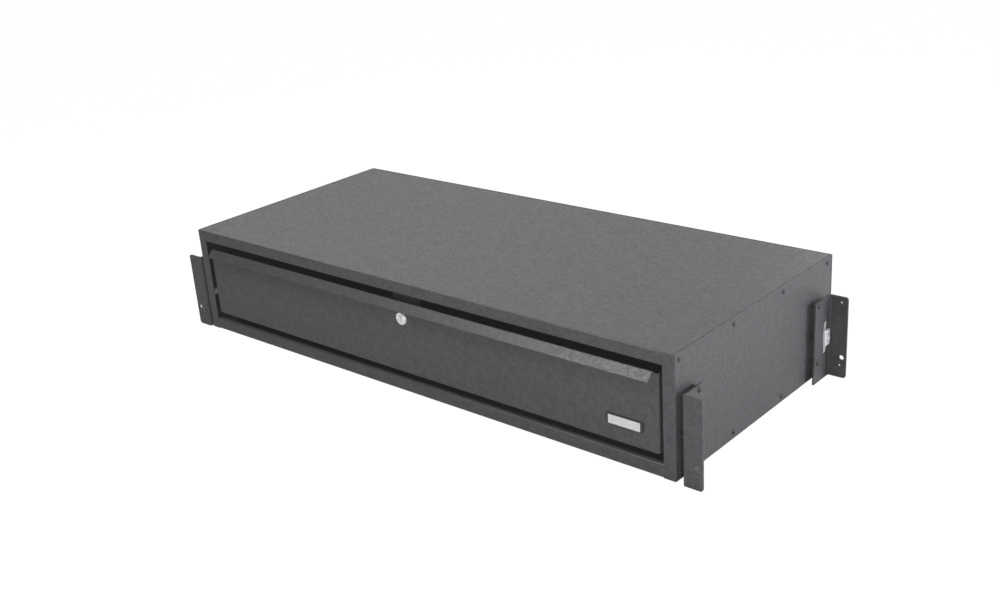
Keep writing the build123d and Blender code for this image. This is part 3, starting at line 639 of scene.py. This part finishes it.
# %% [markdown]
# ## The lock and the name plate
#
# The lock's face is the brightest spot on the front, so its shape matters: a rolled rim, a shallow
# dish, a thin lip round the plug, and a warded keyway in the plug. Its barrel is threaded behind
# the face for the big nut. The name plate is a blank: a raised frame round a sunken brushed field,
# held by two small rivets.

# %% The lock's barrel
def on_front(piece, center, front, body, slot):
    """Turns a piece from +Z to face the front, bakes it at its place and lets it ride."""
    place = Matrix.Translation((center.x, front, center.z)) @ Matrix.Rotation(math.pi / 2, 4, "X")
    piece.data.transform(place)
    piece.data.materials.clear()
    piece.data.materials.append(finishes[slot])
    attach(piece, body)
    return piece


def in_mm(*pairs):
    return [(first * MM, second * MM) for first, second in pairs]


barrel_low, barrel_high = parts_of("lock_barrel")[0]
barrel_length = (barrel_high.y - barrel_low.y) / MM
bore, thread_radius, head_depth, pitch = 6.05, 9.5, 3, 1.0
face_line = in_mm((bore, -0.5), (6.2, -0.12), (6.8, -0.12), (7.1, -0.5), (8.7, -0.62), (9.2, -0.12),
                  (9.8, 0), (10.4, -0.18), (10.7, -0.6), (10.8, -1.1), (10.8, -2.9), (10.7, -head_depth))
coils = threaded(thread_radius * MM, -head_depth * MM, -barrel_length * MM, pitch * MM)[1:-1]
barrel_outline = [*face_line, *coils, (bore * MM, -barrel_length * MM), face_line[0]]
barrel = turned("lock_barrel_detailed", barrel_outline, 72)
on_front(smooth(barrel, 40), (barrel_low + barrel_high) / 2, barrel_low.y, body_of_node["lock_barrel"],
         "lock_nickel")
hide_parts("lock_barrel")
print("barrel:", len(barrel.data.polygons), "faces")

# %% The plug and its keyway
plug_low, plug_high = parts_of("lock_plug")[0]
plug_length = (plug_high.y - plug_low.y) / MM
screw_bore, screw_depth, keyway_depth, mouth_depth = 2.15, 2, 9, 0.25
plug_outline = in_mm((0, 0), (5.4, 0), (5.85, -0.15), (6, -0.5), (6, -plug_length),
                     (screw_bore, -plug_length), (screw_bore, screw_depth - plug_length),
                     (0, screw_depth - plug_length))
plug = turned("lock_plug_detailed", plug_outline, 72)
warded = in_mm((-0.9, 3.6), (-0.5, 4), (0.5, 4), (0.9, 3.6), (0.9, 1.9), (0.35, 1.5), (0.35, 0.9),
               (0.9, 0.5), (0.9, -3.6), (0.5, -4), (-0.5, -4), (-0.9, -3.6), (-0.9, -1.6), (-0.4, -1.2),
               (-0.4, -0.6), (-0.9, -0.2))
combine(plug, prism("keyway", warded, -keyway_depth * MM, 1 * MM), "DIFFERENCE")
flared = [(x * 1.35, y * 1.08) for x, y in warded]
combine(plug, prism("mouth", flared, -mouth_depth * MM, 1 * MM), "DIFFERENCE")
on_front(smooth(plug, 30), (plug_low + plug_high) / 2, plug_low.y, body_of_node["lock_plug"], "lock_nickel")
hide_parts("lock_plug")
print("plug:", len(plug.data.polygons), "faces")

# %% A blank name plate with a frame and rivets
plate_low, plate_high = parts_of("name_plate")[0]
plate_center = (plate_low + plate_high) / 2
half_x, half_z = (plate_high.x - plate_low.x) / 2, (plate_high.z - plate_low.z) / 2
thick = plate_high.y - plate_low.y
frame_width, field_depth, rivet_inset = 1.1 * MM, 0.25 * MM, 2.6 * MM


def rectangle(inset, corner):
    """The outline of a rounded rectangle, inset from the plate's edge."""
    a, b, points = half_x - inset - corner, half_z - inset - corner, []
    for quarter, (side_x, side_z) in enumerate([(1, 1), (-1, 1), (-1, -1), (1, -1)]):
        for step in range(4):
            turn = math.radians(90 * quarter + 30 * step)
            points.append((side_x * a + corner * math.cos(turn), side_z * b + corner * math.sin(turn)))
    return points


plate = prism("name_plate_detailed", rectangle(0, 0.4 * MM), -thick, 0)
combine(plate, prism("field", rectangle(frame_width, 0.6 * MM), -field_depth, 1 * MM), "DIFFERENCE")
dome = in_mm((0, 0), (0.35, -0.03), (0.65, -0.12), (0.8, -0.3), (0.8, -0.8), (0, -0.8))
for side in (-1, 1):
    rivet = turned("rivet", dome, 20)
    rivet.data.transform(Matrix.Translation((side * (half_x - rivet_inset), 0, 0)))
    combine(plate, rivet, "UNION")
on_front(smooth(plate, 30), plate_center, plate_low.y, body_of_node["name_plate"], "plate_aluminium")
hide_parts("name_plate")
print("plate:", len(plate.data.polygons), "faces")

# %% The balls
ball_radius, bands = 1.65 * MM, 12
half_circle = [(0, 0)]
for i in range(1, bands):
    turn = math.pi * i / bands
    half_circle.append((ball_radius * math.sin(turn), ball_radius * (math.cos(turn) - 1)))
half_circle.append((0, -2 * ball_radius))
for side in ("left", "right"):
    for row in ("outer", "inner"):
        ball = turned("ball", half_circle, steps=20)
        replace_hardware(f"{side}_{row}_balls", smooth(ball, 60), lambda center: Vector((0, 0, 1)), seed=1)

# %% [markdown]
# ## Camera, light and floor
#
# The camera stands high at the right-hand front corner with a slightly long lens. The studio is
# plain: a pale floor and a surround that the camera sees as white. Black satin paint shows its
# shape almost only by what it mirrors, so the light is placed for its reflections. A glow behind
# the unit at the left lies where the top panel mirrors it. Lamps on a dome light the right side
# and rear, a small one stands near the right front corner, and one hangs where the sloping lip
# mirrors it, so that the lip grows brighter towards its right-hand end.

# %% Place the camera
camera_data = bpy.data.cameras.new("camera")
camera_data.sensor_width, camera_data.lens = 36, 45.06
camera_data.clip_start, camera_data.clip_end = 0.05, 50
camera = bpy.data.objects.new("camera", camera_data)
bpy.context.scene.collection.objects.link(camera)
turn_left, look_down, roll = (math.radians(a) for a in (42.070, 22.089, 4.120))
aim = Matrix.Rotation(turn_left, 4, "Z") @ Matrix.Rotation(math.pi / 2 - look_down, 4, "X")
camera.matrix_world = (Matrix.Translation((1.3627, -1.4915, 0.9000)) @ aim @ Matrix.Rotation(-roll, 4, "Z"))
bpy.context.scene.camera = camera

# %% A pale floor and a white surround
floor_mesh = bmesh.new()
bmesh.ops.create_grid(floor_mesh, x_segments=2, y_segments=2, size=12)
floor_data = bpy.data.meshes.new("floor")
floor_mesh.to_mesh(floor_data)
floor_mesh.free()
floor = bpy.data.objects.new("floor", floor_data)
bpy.context.scene.collection.objects.link(floor)
floor_finish, floor_shader = finish("studio_floor", (0.72, 0.72, 0.73), 0.9, specular=0.0)
floor.data.materials.append(floor_finish)

world = bpy.data.worlds.new("studio")
bpy.context.scene.world = world
world.use_nodes = True


# %% Light that the camera sees differently from the steel
def seen_by_camera(tree, output_name, seen, lit):
    """Shows one shader to the camera and another to the rays that light the scene."""
    path = tree.nodes.new("ShaderNodeLightPath")
    choose = tree.nodes.new("ShaderNodeMixShader")
    tree.links.new(path.outputs["Is Camera Ray"], choose.inputs["Fac"])
    tree.links.new(lit, choose.inputs[1])
    tree.links.new(seen, choose.inputs[2])
    tree.links.new(choose.outputs["Shader"], tree.nodes[output_name].inputs["Surface"])


def plain_light(tree, kind, strength):
    light = tree.nodes.new(kind)
    light.inputs["Color"].default_value = (1, 1, 1, 1)
    light.inputs["Strength"].default_value = strength
    return light.outputs[0]


def glow(tree, toward, strength, sharpness, everywhere):
    """A surround that is brightest in one direction and fades away from it."""
    place = tree.nodes.new("ShaderNodeTexCoord")
    nearness = tree.nodes.new("ShaderNodeVectorMath")
    nearness.operation = "DOT_PRODUCT"
    nearness.inputs[1].default_value = Vector(toward).normalized()
    tree.links.new(place.outputs["Generated"], nearness.inputs[0])
    value = nearness.outputs["Value"]
    steps = (("MAXIMUM", 0), ("POWER", sharpness), ("MULTIPLY", strength), ("ADD", everywhere))
    for operation, number in steps:
        step = tree.nodes.new("ShaderNodeMath")
        step.operation = operation
        step.inputs[1].default_value = number
        tree.links.new(value, step.inputs[0])
        value = step.outputs["Value"]
    light = tree.nodes.new("ShaderNodeBackground")
    light.inputs["Color"].default_value = (1, 1, 1, 1)
    tree.links.new(value, light.inputs["Strength"])
    return light.outputs["Background"]


# %% A white surround that glows from behind, and a floor with hardly a shadow
room = world.node_tree
seen_by_camera(room, "World Output", plain_light(room, "ShaderNodeBackground", 1.0),
               glow(room, toward=(-0.70, 0.70, 0.09), strength=1.2, sharpness=2.5, everywhere=0.08))
ground = floor_finish.node_tree
pale = ground.nodes.new("ShaderNodeMixShader")
pale.inputs["Fac"].default_value = 0.9
ground.links.new(floor_shader.outputs["BSDF"], pale.inputs[1])
ground.links.new(plain_light(ground, "ShaderNodeEmission", 1.08), pale.inputs[2])
seen_by_camera(ground, "Material Output", pale.outputs["Shader"], floor_shader.outputs["BSDF"])
view = bpy.context.scene.view_settings
view.view_transform = "Standard"
view.use_curve_mapping = True
view.curve_mapping.black_level = (-0.012, -0.012, -0.0125)
view.curve_mapping.update()

# %% Soft lamps
def lamp(name, place, target, size, power):
    """A square soft lamp that looks at the target."""
    data = bpy.data.lights.new(name, "AREA")
    data.shape, data.size, data.energy = "SQUARE", size, power
    made = bpy.data.objects.new(name, data)
    made.location = place
    made.rotation_mode = "QUATERNION"
    made.rotation_quaternion = (Vector(target) - Vector(place)).to_track_quat("-Z", "Y")
    bpy.context.scene.collection.objects.link(made)
    return made


def studio_lamp(name, turn, rise, power, size=1.0):
    """A lamp on a dome round the unit: `turn` degrees to the right of its front, `rise` above level."""
    turn, rise = math.radians(turn), math.radians(rise)
    target = Vector((0.1, -0.05, 0.1))
    way = Vector((math.sin(turn) * math.cos(rise), -math.cos(turn) * math.cos(rise), math.sin(rise)))
    return lamp(name, target + way * 2.3, target, size, power)


studio_lamp("right_low", 115, 12, 36)
studio_lamp("right_high", 120, 60, 17)
studio_lamp("left_high", -45, 60, 5.5)
studio_lamp("rear", 180, 12, 8)
studio_lamp("fill", 44, 20, 6)
lamp("corner", (1.35, -1.05, 0.5), (0.45, -0.2, 0.08), 0.6, 8)
lamp("lip", (-0.28, -0.85, 1.4), (0.42, -0.22, 0.13), 0.5, 13)
